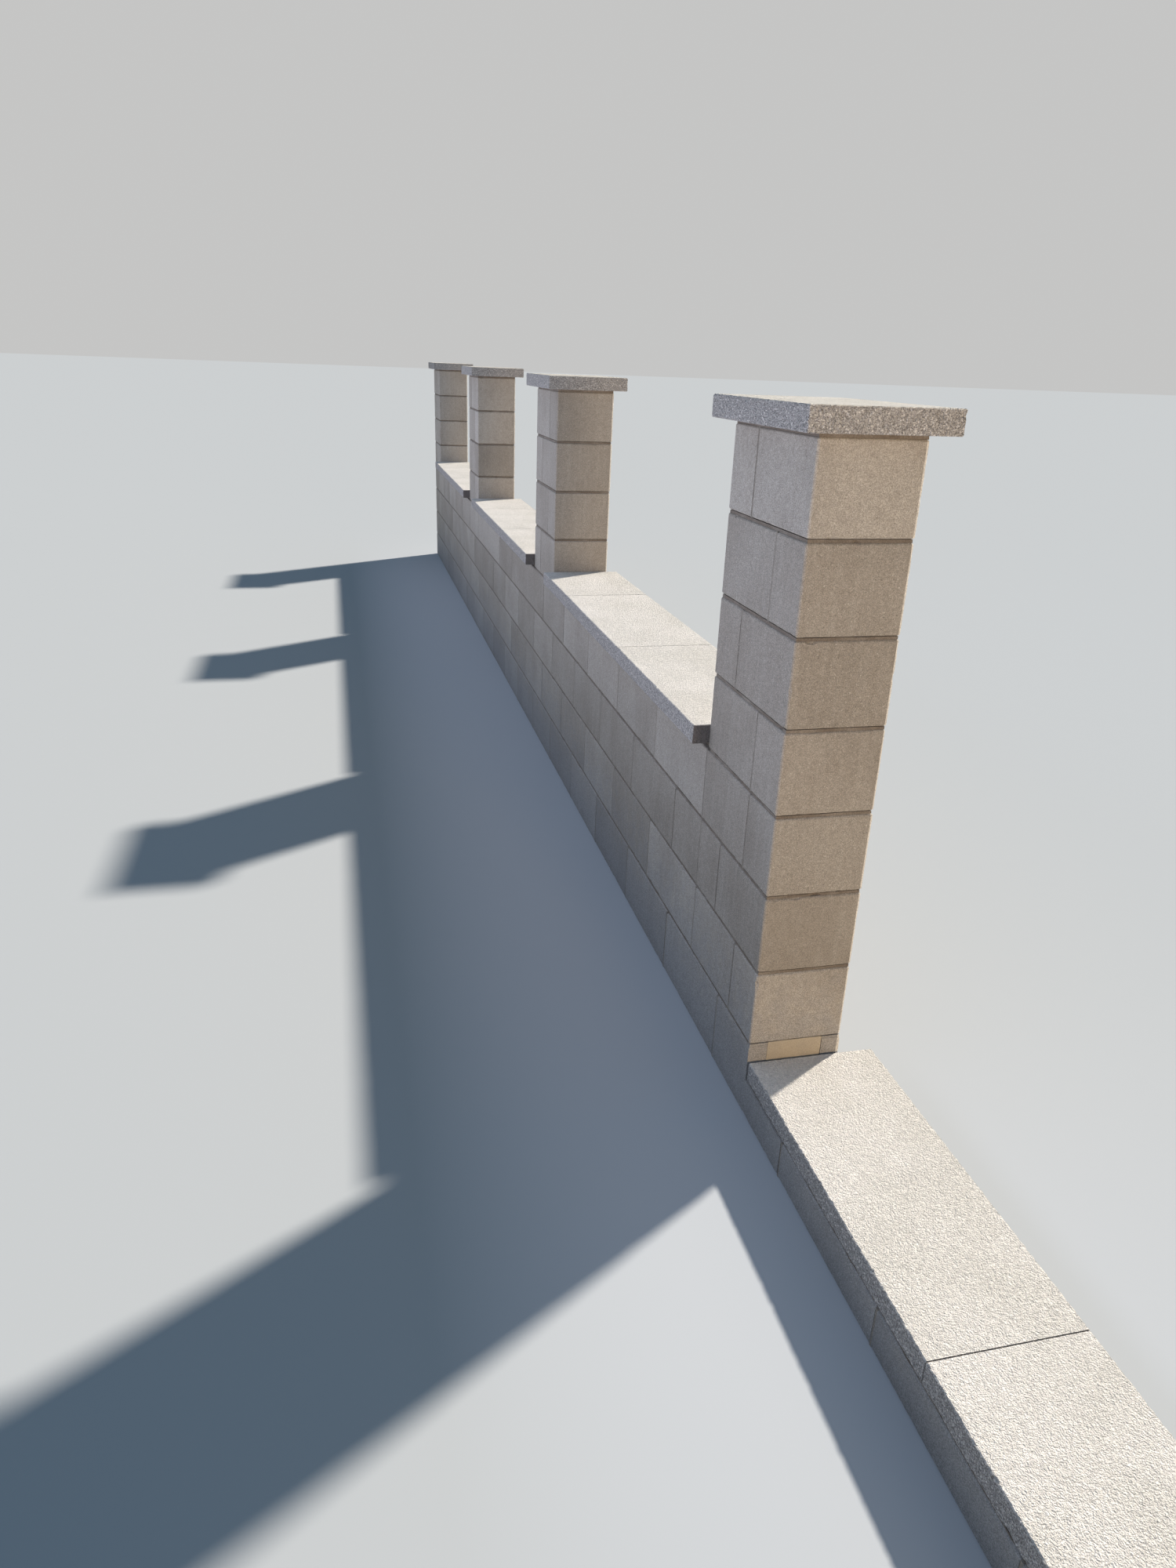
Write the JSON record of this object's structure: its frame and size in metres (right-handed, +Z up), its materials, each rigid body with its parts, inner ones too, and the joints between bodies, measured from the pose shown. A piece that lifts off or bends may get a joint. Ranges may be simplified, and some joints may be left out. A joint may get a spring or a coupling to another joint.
{
  "type": "concrete block garden wall",
  "caption": "Low garden wall of smooth concrete blocks with square piers, flat caps and coping slabs, open bays for fence panels, and a low sill at one end.",
  "frame": {"origin": "middle of the underside of the whole wall's box, at ground level", "axes": "+X along the wall towards the low sill, -Y out of the face that the picture shows, +Z up"},
  "size_m": [9.619, 0.373, 1.652],
  "materials": {
    "block_concrete": "matte",
    "slab_stone": "matte",
    "mortar": "matte",
    "fill_concrete": "matte"
  },
  "bodies": {
    "root": {"wall_course_1": "block_concrete", "wall_course_2": "block_concrete", "wall_course_3": "block_concrete", "wall_course_4": "block_concrete", "sill_course": "block_concrete", "core_fill": "fill_concrete", "sill_slab_1": "slab_stone", "sill_slab_2": "slab_stone", "pier_1": "block_concrete", "pier_2": "block_concrete", "pier_3": "block_concrete", "pier_4": "block_concrete", "coping_bed_1": "mortar", "coping_bed_2": "mortar", "coping_bed_3": "mortar", "coping_slab_1": "slab_stone", "coping_slab_2": "slab_stone", "coping_slab_3": "slab_stone", "coping_slab_4": "slab_stone", "coping_slab_5": "slab_stone", "coping_slab_6": "slab_stone", "coping_slab_7": "slab_stone", "coping_slab_8": "slab_stone", "coping_slab_9": "slab_stone", "cap_bed_1": "mortar", "cap_bed_2": "mortar", "cap_bed_3": "mortar", "cap_bed_4": "mortar", "pier_cap_1": "slab_stone", "pier_cap_2": "slab_stone", "pier_cap_3": "slab_stone", "pier_cap_4": "slab_stone"}
  },
  "joints": []
}
